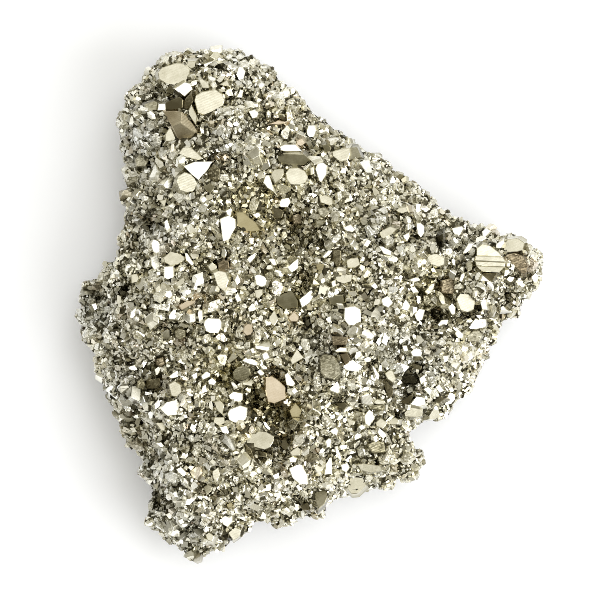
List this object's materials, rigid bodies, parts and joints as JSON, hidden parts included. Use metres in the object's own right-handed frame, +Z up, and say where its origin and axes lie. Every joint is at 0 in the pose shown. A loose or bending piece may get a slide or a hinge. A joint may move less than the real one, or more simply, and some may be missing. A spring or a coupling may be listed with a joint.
{
  "type": "pyrite specimen",
  "caption": "Hand-sized cluster of intergrown pyrite crystals, wedge shaped in plan, crowded with small brassy facets over a flat broken underside.",
  "frame": {"origin": "middle of the footprint, on the surface that the cluster rests on", "axes": "+Z up out of the crystal-covered top, +Y along the long straight side towards its rounded corner, +X towards the pointed corner"},
  "size_m": [0.0834, 0.0908, 0.0293],
  "materials": {
    "pyrite": "pale brassy metallic lustre on small flat crystal faces, olive shade in the hollows"
  },
  "bodies": {
    "root": {"pyrite_cluster": "pyrite"}
  },
  "joints": []
}
